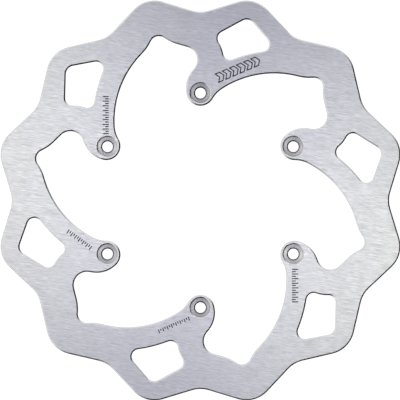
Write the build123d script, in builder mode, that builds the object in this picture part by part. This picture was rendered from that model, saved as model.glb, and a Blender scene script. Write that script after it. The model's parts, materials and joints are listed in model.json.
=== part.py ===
from build123d import *
import os
from math import cos, radians, sin, tan

# One-piece wave brake disc for the front wheel of an off-road motorcycle.
# It lies flat: the back, which seats on the hub, is at Z = 0, and the counterbored, marked front faces +Z.
# The wheel's axis is Z through the origin. Lengths are millimetres and angles are degrees.

# Disc blank, with a wavy rim
tip_radius = 120.0  # over the tips of the waves
thickness = 5.0
wave_count = 12
wave_lean = 31.9  # slope of a wave's flanks against the tangent at its tip
tip_round = 16.8
valley_round = 16.3

# Bolting to the hub
bolt_count = 6
bolt_circle = 125.0
bolt_hole = 6.2  # close clearance for M6
bolt_seat = 11.6  # flat-bottomed seat for a low screw head
bolt_seat_depth = 1.8

# Bevels, as widths across the face, all at one slope from it
bevel_slope = 35.0
edge_bevel = 0.8  # along every outline, front and back
seat_bevel = 0.55
hole_bevel = 0.7

# Inner outline, once for each lug: corner radius, degrees clockwise from the lug, fillet
inner_corners = [
    (43.2, -4.5, 8.2),  # round end of the lug
    (63.8, 8.7, 16.4),  # lug into arm
    (84.65, 23.0, 55.8),  # long hollow under the arm
    (93.85, 40.75, 23.3),
    (101.5, 45.0, 5.2),  # outer corner, at the root of the arm
    (93.65, 49.4, 23.3),
    (86.2, 62.45, 7.7),  # deep corner behind the next lug
    (70.0, 51.8, 16.0),  # back of the next lug
]

# Window through each arm's root: corner radius, degrees clockwise from the lug, fillet
window_corners = [
    (110.25, 14.75, 4.9),
    (98.3, 26.7, 4.3),
    (90.2, 18.3, 75.9),  # slight bend in the side along the arm
    (81.8, 9.95, 4.2),
    (89.55, 8.1, 16.9),  # bend in the side over the lug
    (96.35, 5.0, 4.25),
]

# Marks etched in the front face, each along one arm
etch_depth = 0.15
etch_line = 0.6
arrow_count = 6  # open chevrons beside the first lug, pointing the way the disc turns
arrow_pitch = 4.5
arrow_height = 5.8
arrow_width = 3.4
arrow_point = 1.9
arrow_radius = 77.8
arrow_sweep = 14.5
arrow_lean = 67.0
tick_pitch = 1.35
tick_radius = 74.2
tick_sweep = 12.0
short_tick = 0.6  # height of a short tick against a long one
# Rows of long and short ticks: lug, lean of the arm, long ticks, height
tick_rows = [
    (2, 60.0, 8, 3.7),
    (3, 67.0, 8, 2.2),
    (4, 66.0, 7, 2.7),
    (5, 60.0, 9, 3.5),
]

# Worked out
wave_pitch = 360 / wave_count
tip_corner = tip_radius + tip_round * (1 / cos(radians(wave_lean)) - 1)
half_pitch = radians(wave_pitch / 2)
valley_corner = tip_corner / (cos(half_pitch) + sin(half_pitch) * tan(radians(wave_lean)))
lug_pitch = 360 / bolt_count
lug_angles = [90 - lug_pitch * lug for lug in range(bolt_count)]
bevel_cone = 180 - 2 * bevel_slope


def polar(radius, angle):
    """Point at a radius and an angle, counterclockwise from +X."""
    return radius * cos(radians(angle)), radius * sin(radians(angle))


def corner_points(corners, lug_angle):
    """Corner points of an outline that is laid out clockwise from a lug."""
    return [polar(radius, lug_angle - sweep) for radius, sweep, round_radius in corners]


def corner_rounds(corners):
    """Fillets of an outline's corners, in the same order."""
    return [round_radius for radius, sweep, round_radius in corners]


def arm_plane(lug, radius, sweep, lean):
    """Plane in the front face at the middle of a mark, with its X along the arm."""
    x, y = polar(radius, lug_angles[lug] - sweep)
    along_x, along_y = polar(1, lug_angles[lug] - lean)
    return Plane((x, y, thickness), x_dir=(along_x, along_y, 0), z_dir=(0, 0, 1))


with BuildPart() as brake_disc:
    with BuildSketch() as blank:
        rim_points = []
        for wave in range(wave_count):
            rim_points.append(polar(tip_corner, wave_pitch * (wave + 0.5)))
            rim_points.append(polar(valley_corner, wave_pitch * (wave + 1)))
        with BuildLine():
            FilletPolyline(*rim_points, radius=[tip_round, valley_round] * wave_count, close=True)
        make_face()

    with BuildSketch(mode=Mode.PRIVATE) as openings:
        inner_points = [point for angle in lug_angles for point in corner_points(inner_corners, angle)]
        with BuildLine():
            FilletPolyline(*inner_points, radius=corner_rounds(inner_corners) * bolt_count, close=True)
        make_face()
        for angle in lug_angles:
            window_points = corner_points(window_corners, angle)
            with BuildLine():
                FilletPolyline(*window_points, radius=corner_rounds(window_corners), close=True)
            make_face()

    extrude(blank.sketch, amount=thickness)
    extrude(openings.sketch, amount=thickness, mode=Mode.SUBTRACT)
    for face in brake_disc.faces().filter_by(Axis.Z):
        chamfer(face.edges(), length=edge_bevel, angle=bevel_slope, reference=face)

    # Bolt holes, one through each lug: a seat in the front, and a hole through its floor, bevelled at both ends
    with PolarLocations(bolt_circle / 2, bolt_count, start_angle=lug_angles[0]):
        with Locations((0, 0, thickness)):
            CounterSinkHole(bolt_seat / 2, bolt_seat / 2 + seat_bevel, bolt_seat_depth, bevel_cone)
        with Locations((0, 0, thickness - bolt_seat_depth), Location((0, 0, 0), (180, 0, 0))):
            CounterSinkHole(bolt_hole / 2, bolt_hole / 2 + hole_bevel, counter_sink_angle=bevel_cone)

    # Direction arrow: a row of open chevrons
    with BuildSketch(arm_plane(0, arrow_radius, arrow_sweep, arrow_lean)) as arrow:
        with GridLocations(arrow_pitch, 0, arrow_count, 1):
            Polygon(
                (0, -arrow_height / 2),
                (arrow_width, -arrow_height / 2),
                (arrow_width + arrow_point, 0),
                (arrow_width, arrow_height / 2),
                (0, arrow_height / 2),
                (arrow_point, 0),
            )
        offset(amount=-etch_line, kind=Kind.INTERSECTION, mode=Mode.SUBTRACT)

    # Rows of ticks, all standing on one base line
    for lug, lean, long_ticks, height in tick_rows:
        with BuildSketch(arm_plane(lug, tick_radius, tick_sweep, lean)) as ticks:
            with GridLocations(2 * tick_pitch, 0, long_ticks, 1):
                Rectangle(etch_line, height)
            with Locations((0, -height * (1 - short_tick) / 2)):
                with GridLocations(2 * tick_pitch, 0, long_ticks - 1, 1):
                    Rectangle(etch_line, height * short_tick)
    extrude(amount=-etch_depth, mode=Mode.SUBTRACT)

brake_disc.part.label = "brake_disc"
os.makedirs("parts", exist_ok=True)
export_step(brake_disc.part, "parts/brake_disc.step")
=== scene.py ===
import json
from math import cos, radians, sin

import bpy
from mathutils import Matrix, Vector


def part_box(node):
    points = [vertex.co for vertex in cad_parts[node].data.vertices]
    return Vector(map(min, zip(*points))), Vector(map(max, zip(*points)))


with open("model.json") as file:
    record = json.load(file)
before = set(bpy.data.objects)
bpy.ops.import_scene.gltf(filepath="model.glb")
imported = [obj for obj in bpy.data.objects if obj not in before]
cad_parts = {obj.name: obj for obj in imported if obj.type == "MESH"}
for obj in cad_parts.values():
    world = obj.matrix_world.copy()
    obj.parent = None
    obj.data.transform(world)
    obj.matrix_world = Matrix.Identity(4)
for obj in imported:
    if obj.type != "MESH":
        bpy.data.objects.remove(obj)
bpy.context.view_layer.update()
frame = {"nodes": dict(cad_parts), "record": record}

# The looks of a ground-steel wave brake disc, lying flat on a white table and seen from straight above.
# Lengths are metres, angles degrees. +X is right in the picture and +Y is up.

MM = 0.001

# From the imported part
DISC = frame["nodes"]["brake_disc"]
BOX_LOW, BOX_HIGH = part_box("brake_disc")
THICKNESS = BOX_HIGH.z - BOX_LOW.z
HUB_BOLTS = next(mount for mount in frame["record"]["mounts"] if mount["name"] == "hub_bolts")
BOLT_RADIUS = HUB_BOLTS["dims"]["pcd_mm"] / 2 * MM
HOLE_RADIUS = HUB_BOLTS["dims"]["hole_r_mm"] * MM
LUG_PITCH = 360 / HUB_BOLTS["dims"]["count"]

# Depths under the front face, as the part has them
SEAT_DEPTH = 1.8 * MM
ETCH_DEPTH = 0.15 * MM
HOLE_BEVEL = 0.7 * MM  # width of the bevel round each bolt hole

# How upright a surface's normal is: 1 on the faces, 0.82 on the bevels and 0 on the walls
FLAT_TILT = 0.95
WALL_TILT = 0.3

# Surface finish
GRAIN_ANGLE = -9.1  # direction of the grinding lines over both faces
ANISOTROPY = 0.7  # how far the tool marks stretch the highlights
FACE_COLOUR = (0.68, 0.68, 0.70)
WALL_COLOUR = (0.40, 0.40, 0.41)
BEVEL_COLOUR = (0.69, 0.69, 0.69)
SEAT_COLOUR = (0.39, 0.385, 0.40)
# painted shade: the walls and bevels of the bolt holes are painted this dark colour
HOLE_SHADE_COLOUR = (0.11, 0.11, 0.115)
ETCH_COLOUR = (0.04, 0.04, 0.045)
WALL_ROUGHNESS = 0.45
BEVEL_ROUGHNESS = 0.1
ETCH_ROUGHNESS = 0.6

# From the low to the high end of a noise
NOISE_RANGE = (0.3, 0.7)
MARK_SHADE = (0.825, 1.175)  # brightness of a tool mark
MARK_ROUGHNESS = (0.38, 0.30)
PATCH_SHADE = (0.98, 1.02)  # brightness of a broad patch
BEVEL_CALM = 0.8  # share of the tool marks that the bevels lose

# Room light
BRIGHT_AZIMUTH = 137.5  # the side of the room that is bright, counterclockwise from +X
ROOM_COLOUR = (0.99, 0.99, 1.0)
DARK_LEVEL = 0.02  # the dark side's wall
TOP_LEVEL = 0.12  # overhead
HORIZON_LEVEL = 1.2  # all round, under the dark wall
TALL_LIGHT = (0.12, 0.3)
SMALL_LIGHT = (0.12, 0.12)

# Framing
CAMERA_DISTANCE = 3.0  # far back, so that the walls of the openings hardly show
PICTURE_WIDTH = 232.9 * MM  # at the disc's front face
PICTURE_CENTRE = (-0.26 * MM, 0.20 * MM)
SENSOR_WIDTH = 36.0


def direction(azimuth):
    """Level unit vector at an angle counterclockwise from +X."""
    return cos(radians(azimuth)), sin(radians(azimuth)), 0.0


class Tree:
    """Adds linked nodes to a node tree."""

    def __init__(self, owner):
        owner.use_nodes = True
        self.tree = owner.node_tree
        self.tree.nodes.clear()

    def add(self, kind, inputs=None, **settings):
        """A new node. Inputs are given by name or number, as values or as other nodes' outputs."""
        node = self.tree.nodes.new(kind)
        for name, value in settings.items():
            setattr(node, name, value)
        for name, value in (inputs or {}).items():
            self.put(node.inputs[name], value)
        return node

    def put(self, socket, value):
        if isinstance(value, bpy.types.NodeSocket):
            self.tree.links.new(value, socket)
        else:
            socket.default_value = value

    def math(self, operation, *values):
        return self.add("ShaderNodeMath", dict(enumerate(values)), operation=operation).outputs[0]

    def vector(self, operation, *values):
        node = self.add("ShaderNodeVectorMath", dict(enumerate(values)), operation=operation)
        return node.outputs["Value" if operation in ("LENGTH", "DOT_PRODUCT") else "Vector"]

    def join(self, x=0.0, y=0.0, z=0.0):
        return self.add("ShaderNodeCombineXYZ", {"X": x, "Y": y, "Z": z}).outputs[0]

    def split(self, vector):
        return self.add("ShaderNodeSeparateXYZ", {0: vector}).outputs

    def ramp(self, value, low, high, to_low=0.0, to_high=1.0):
        """Linear change from to_low to to_high as value goes from low to high, and level outside."""
        node = self.add("ShaderNodeMapRange", {"Value": value, "From Min": low, "From Max": high})
        self.put(node.inputs["To Min"], to_low)
        self.put(node.inputs["To Max"], to_high)
        return node.outputs[0]

    def mix(self, factor, first, second, kind="RGBA"):
        """first where factor is 0 and second where it is 1. kind is RGBA, FLOAT or VECTOR."""
        node = self.add("ShaderNodeMix", data_type=kind)
        ends = [socket for socket in node.inputs if socket.enabled]
        for socket, value in zip(ends, (factor, first, second)):
            if kind == "RGBA" and isinstance(value, tuple):
                value = (*value, 1.0)
            self.put(socket, value)
        return next(socket for socket in node.outputs if socket.enabled)

    def noise(self, place, length, width, detail=2.0, roughness=0.5):
        """Flat noise with grains of one length in X and another in Y."""
        stretched = self.vector("MULTIPLY", place, (1 / length, 1 / width, 0.0))
        inputs = {"Vector": stretched, "Scale": 1.0, "Detail": detail, "Roughness": roughness}
        return self.add("ShaderNodeTexNoise", inputs, noise_dimensions="2D").outputs["Fac"]


def grinding_lines(nodes, place):
    """Fine lines and broad patches of the grinding, straight across the whole disc."""
    along = nodes.vector("DOT_PRODUCT", place, direction(GRAIN_ANGLE))
    across = nodes.vector("DOT_PRODUCT", place, direction(GRAIN_ANGLE + 90))
    turned = nodes.join(along, across)
    short = nodes.noise(turned, 3.5 * MM, 0.4 * MM)
    long = nodes.noise(turned, 10 * MM, 0.55 * MM)
    broad = nodes.noise(turned, 35 * MM, 5 * MM)
    lines = nodes.mix(0.5, short, long, "FLOAT")
    return lines, broad


def from_nearest_bolt(nodes, place):
    """Level vector from the axis of the nearest bolt hole."""
    x, y, _ = nodes.split(place)
    angle = nodes.math("ARCTAN2", y, x)
    lug_angle = nodes.math("ADD", nodes.math("SNAP", angle, radians(LUG_PITCH)), radians(LUG_PITCH / 2))
    bolt_x = nodes.math("MULTIPLY", nodes.math("COSINE", lug_angle), BOLT_RADIUS)
    bolt_y = nodes.math("MULTIPLY", nodes.math("SINE", lug_angle), BOLT_RADIUS)
    return nodes.join(nodes.math("SUBTRACT", x, bolt_x), nodes.math("SUBTRACT", y, bolt_y))


def disc_steel():
    """Ground stainless steel, with laser-cut walls, turned bolt seats, dark etched marks and painted shade
    in the bolt holes.
    """
    material = bpy.data.materials.new("ground_disc_steel")
    nodes = Tree(material)
    place = nodes.add("ShaderNodeTexCoord").outputs["Object"]
    normal = nodes.add("ShaderNodeNewGeometry").outputs["True Normal"]
    tilt = nodes.math("ABSOLUTE", nodes.split(normal)["Z"])
    depth = nodes.math("SUBTRACT", THICKNESS, nodes.split(place)["Z"])
    from_bolt = from_nearest_bolt(nodes, place)
    bolt_distance = nodes.vector("LENGTH", from_bolt)

    # Where each finish is, and where the bolt holes get painted shade
    is_flat = nodes.math("GREATER_THAN", tilt, FLAT_TILT)
    is_wall = nodes.math("LESS_THAN", tilt, WALL_TILT)
    is_bevel = nodes.math("SUBTRACT", 1.0, nodes.math("ADD", is_flat, is_wall))
    is_etch = nodes.math("MULTIPLY", is_flat, nodes.math("COMPARE", depth, ETCH_DEPTH, ETCH_DEPTH / 3))
    is_seat = nodes.math("MULTIPLY", is_flat, nodes.math("COMPARE", depth, SEAT_DEPTH, SEAT_DEPTH / 10))
    near_hole = nodes.math("LESS_THAN", bolt_distance, HOLE_RADIUS + 1.2 * HOLE_BEVEL)
    # painted shade: the walls and bevels round each bolt hole get a dark colour
    is_hole_shade = nodes.math("MULTIPLY", near_hole, nodes.math("SUBTRACT", 1.0, is_flat))

    # Tool marks: grinding on the faces, rings in the seats and beam lines down the walls
    lines, broad = grinding_lines(nodes, place)
    rings = nodes.noise(nodes.join(y=bolt_distance), 1.0, 0.25 * MM, 1.0)
    cuts = nodes.noise(place, 0.45 * MM, 0.45 * MM)
    marks = nodes.mix(is_seat, lines, rings, "FLOAT")
    marks = nodes.mix(is_wall, marks, cuts, "FLOAT")
    marks = nodes.mix(nodes.math("MULTIPLY", is_bevel, BEVEL_CALM), marks, 0.5, "FLOAT")

    colour = nodes.mix(is_bevel, FACE_COLOUR, BEVEL_COLOUR)
    colour = nodes.mix(is_wall, colour, WALL_COLOUR)
    colour = nodes.mix(is_seat, colour, SEAT_COLOUR)
    mark_shade = nodes.ramp(marks, *NOISE_RANGE, *MARK_SHADE)
    shade = nodes.math("MULTIPLY", mark_shade, nodes.ramp(broad, *NOISE_RANGE, *PATCH_SHADE))
    colour = nodes.vector("MULTIPLY", colour, nodes.join(shade, shade, shade))
    # painted shade in the bolt holes
    colour = nodes.mix(is_hole_shade, colour, HOLE_SHADE_COLOUR)
    colour = nodes.mix(is_etch, colour, ETCH_COLOUR)

    roughness = nodes.ramp(marks, *NOISE_RANGE, *MARK_ROUGHNESS)
    roughness = nodes.mix(is_wall, roughness, WALL_ROUGHNESS, "FLOAT")
    roughness = nodes.mix(is_bevel, roughness, BEVEL_ROUGHNESS, "FLOAT")
    roughness = nodes.mix(is_etch, roughness, ETCH_ROUGHNESS, "FLOAT")

    bump = nodes.add("ShaderNodeBump", {"Height": marks, "Strength": 0.5, "Distance": 0.01 * MM})
    surface = nodes.add(
        "ShaderNodeBsdfPrincipled",
        {
            "Base Color": colour,
            "Metallic": 1.0,
            "Roughness": roughness,
            "Normal": bump.outputs[0],
            "Anisotropic": ANISOTROPY,
            "Tangent": nodes.mix(is_seat, direction(GRAIN_ANGLE + 90), from_bolt, "VECTOR"),
        },
    )
    nodes.add("ShaderNodeOutputMaterial", {"Surface": surface.outputs[0]})
    return material


def white_table():
    """A glowing white table top, like a light box. The disc's steel mirrors the room and not the table."""
    material = bpy.data.materials.new("white_table")
    nodes = Tree(material)
    surface = nodes.add(
        "ShaderNodeBsdfPrincipled",
        {
            "Base Color": (0.04, 0.04, 0.04, 1),
            "Roughness": 0.9,
            "Emission Color": (1, 1, 1, 1),
            "Emission Strength": 1.06,
        },
    )
    nodes.add("ShaderNodeOutputMaterial", {"Surface": surface.outputs[0]})
    bpy.ops.mesh.primitive_plane_add(size=40.0, location=(0, 0, BOX_LOW.z))
    table = bpy.context.object
    table.name = "table"
    table.data.materials.append(material)
    table.visible_glossy = False


def add_light(name, place, size, power, colour):
    """A soft rectangular light that faces the disc."""
    lamp = bpy.data.lights.new(name, "AREA")
    lamp.shape = "RECTANGLE"
    lamp.size, lamp.size_y = size
    lamp.energy = power
    lamp.color = colour
    light = bpy.data.objects.new(name, lamp)
    light.location = place
    light.rotation_euler = (-Vector(place)).to_track_quat("-Z", "Y").to_euler()
    bpy.context.scene.collection.objects.link(light)


def studio_world():
    """Room light, for the bevels: one side's wall is bright and the other's dark. White behind the table."""
    world = bpy.data.worlds.new("studio")
    bpy.context.scene.world = world
    nodes = Tree(world)
    look = nodes.add("ShaderNodeTexCoord").outputs["Generated"]
    level_look = nodes.vector("NORMALIZE", nodes.vector("MULTIPLY", look, (1, 1, 0)))
    towards = nodes.vector("DOT_PRODUCT", level_look, direction(BRIGHT_AZIMUTH))
    wall = nodes.ramp(towards, -0.5, 0.1, DARK_LEVEL, 1.0)
    height = nodes.split(look)["Z"]
    level = nodes.ramp(height, 0.19, 0.25, HORIZON_LEVEL, wall)
    level = nodes.ramp(height, 0.45, 0.75, level, TOP_LEVEL)
    room = nodes.add("ShaderNodeBackground", {"Color": (*ROOM_COLOUR, 1), "Strength": level}).outputs[0]
    white = nodes.add("ShaderNodeBackground", {"Color": (1, 1, 1, 1), "Strength": 1.0}).outputs[0]
    is_camera = nodes.add("ShaderNodeLightPath").outputs["Is Camera Ray"]
    shown = nodes.add("ShaderNodeMixShader", {0: is_camera, 1: room, 2: white}).outputs[0]
    nodes.add("ShaderNodeOutputWorld", {"Surface": shown})


def add_camera():
    """Looks straight down on the disc, with +Y up in the picture."""
    camera = bpy.data.objects.new("camera", bpy.data.cameras.new("camera"))
    camera.data.sensor_width = SENSOR_WIDTH
    camera.data.lens = SENSOR_WIDTH * CAMERA_DISTANCE / PICTURE_WIDTH
    camera.data.clip_end = 100.0
    camera.location = (*PICTURE_CENTRE, BOX_HIGH.z + CAMERA_DISTANCE)
    bpy.context.scene.collection.objects.link(camera)
    bpy.context.scene.camera = camera


DISC.material_slots[0].material = disc_steel()
white_table()
studio_world()
add_light("left_light", (-0.193, 0.052, 0.45), TALL_LIGHT, 0.293, (0.99, 1.0, 0.89))
add_light("right_light", (0.193, -0.052, 0.45), TALL_LIGHT, 0.307, (0.99, 1.0, 0.845))
add_light("front_light", (0, -0.15, 0.45), SMALL_LIGHT, 0.019, (1.0, 0.95, 1.0))
add_light("back_corner_light", (0.139, 0.08, 0.4), SMALL_LIGHT, 0.008, (0.75, 0.75, 1.0))
add_light("front_corner_light", (-0.139, -0.08, 0.4), SMALL_LIGHT, 0.017, (1.0, 0.94, 0.76))
add_light("centre_light", (0, 0, 0.4), (0.15, 0.15), 0.073, (1.0, 1.0, 0.93))
add_light("top_light", (0, 0, 0.6), (0.3, 0.3), 0.137, (0.44, 0.46, 1.0))
add_camera()
bpy.context.scene.view_settings.view_transform = "Standard"
